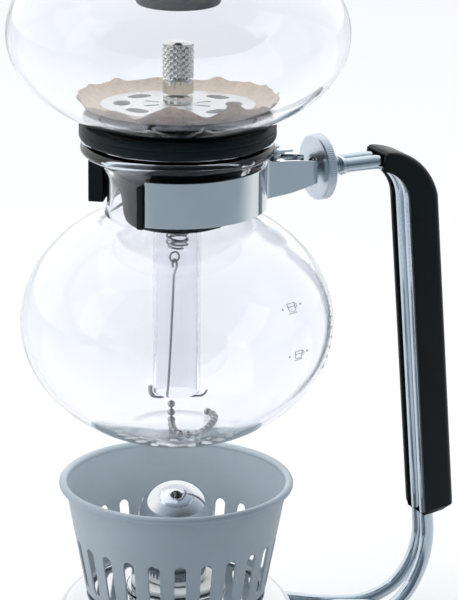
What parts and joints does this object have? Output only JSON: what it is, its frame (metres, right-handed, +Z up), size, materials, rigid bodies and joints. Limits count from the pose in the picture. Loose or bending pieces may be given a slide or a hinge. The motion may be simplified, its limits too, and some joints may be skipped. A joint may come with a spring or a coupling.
{
  "type": "siphon coffee maker",
  "caption": "Tabletop siphon coffee maker: glass bowl with a stem in a glass bulb, clamped to a wire stand with a black grip, over a spirit lamp with a slotted windshield.",
  "frame": {"origin": "on the vessels' common axis at table level, at the centre of the lamp's flat underside", "axes": "+Z up; +X along the stand's arm towards the handle; +Y to the left when looking along +X"},
  "size_m": [0.1674, 0.116, 0.298],
  "materials": {
    "glass": "clear borosilicate glass",
    "lid_plastic": "satin black moulded plastic",
    "stopper_rubber": "satin black rubber",
    "pad_rubber": "black rubber",
    "foot_rubber": "black rubber",
    "grip_plastic": "satin black moulded plastic",
    "paper": "unbleached filter paper",
    "filter_plastic": "white moulded plastic",
    "filter_metal": "bright plated",
    "wire_metal": "bright stainless wire",
    "clamp_chrome": "bright chromed steel strip",
    "satin_steel": "satin steel",
    "stand_chrome": "bright chromed steel rod",
    "lamp_chrome": "bright chrome",
    "ceramic": "glazed white ceramic",
    "cotton": "braided cotton",
    "shield_aluminium": "satin aluminium"
  },
  "bodies": {
    "stand": {"stand_rod_left": "stand_chrome", "stand_rod_right": "stand_chrome", "grip": "grip_plastic", "base_bridge": "stand_chrome", "front_foot_left": "foot_rubber", "front_foot_right": "foot_rubber", "rear_foot_left": "foot_rubber", "rear_foot_right": "foot_rubber", "clamp_stud": "clamp_chrome", "clamp_pivot_pin": "satin_steel", "clamp_spring": "satin_steel", "lower_bulb": "glass"},
    "jaw_left": {"clamp_jaw_left": "clamp_chrome", "jaw_pad_left": "pad_rubber"},
    "jaw_right": {"clamp_jaw_right": "clamp_chrome", "jaw_pad_right": "pad_rubber"},
    "nut": {"disc_nut": "satin_steel"},
    "bowl": {"upper_bowl": "glass", "gasket": "stopper_rubber", "filter_base_plate": "filter_metal", "paper_filter": "paper", "filter_top_plate": "filter_plastic", "filter_collar": "filter_metal", "filter_rod": "filter_metal", "filter_spring": "wire_metal", "spring_link": "wire_metal", "pull_wire": "wire_metal", "bead_chain": "wire_metal"},
    "filter_nut": {"filter_nut": "filter_metal"},
    "lid": {"lid": "lid_plastic"},
    "lamp": {"lamp_tank": "lamp_chrome", "filler_collar": "lamp_chrome"},
    "burner": {"wick_holder": "ceramic"},
    "wick": {"wick": "cotton"},
    "cap": {"snuffer_cap": "lamp_chrome"},
    "shield": {"windshield": "shield_aluminium"}
  },
  "joints": [
    {"name": "clamp_nut_turn", "type": "hinge", "parent": "stand", "child": "nut", "pos_m": [0.0542, 0, 0.1746], "axis": [1, 0, 0], "range_deg": [0, 720]},
    {"name": "jaw_left_swing", "type": "hinge", "parent": "stand", "child": "jaw_left", "pos_m": [0.0365, 0, 0.1746], "axis": [0, 0, 1], "range_deg": [-9, 0]},
    {"name": "jaw_right_swing", "type": "hinge", "parent": "stand", "child": "jaw_right", "pos_m": [0.0365, 0, 0.1746], "axis": [0, 0, 1], "range_deg": [0, 9]},
    {"name": "bowl_lift", "type": "slide", "parent": "stand", "child": "bowl", "axis": [0, 0, 1], "range_m": [0, 0.11]},
    {"name": "filter_nut_turn", "type": "hinge", "parent": "bowl", "child": "filter_nut", "pos_m": [0.00042, 0.00082, 0.21447], "axis": [0.0317, 0.0622, 0.9976], "range_deg": [0, 720]},
    {"name": "lid_lift", "type": "slide", "parent": "bowl", "child": "lid", "axis": [0, 0, 1], "range_m": [0, 0.065]},
    {"name": "lamp_slide", "type": "slide", "parent": "stand", "child": "lamp", "axis": [-1, 0, 0], "range_m": [0, 0.12]},
    {"name": "burner_lift", "type": "slide", "parent": "lamp", "child": "burner", "axis": [0, 0, 1], "range_m": [0, 0.016]},
    {"name": "wick_slide", "type": "slide", "parent": "burner", "child": "wick", "axis": [0, 0, 1], "range_m": [-0.003, 0.004]},
    {"name": "cap_lift", "type": "slide", "parent": "burner", "child": "cap", "axis": [0, 0, 1], "range_m": [0, 0.017]},
    {"name": "shield_lift", "type": "slide", "parent": "lamp", "child": "shield", "axis": [0, 0, 1], "range_m": [0, 0.024]}
  ],
  "couplings": [
    {"joint": "jaw_right_swing", "follows": "clamp_nut_turn", "ratio": 0.01249},
    {"joint": "jaw_left_swing", "follows": "clamp_nut_turn", "ratio": -0.01249}
  ]
}
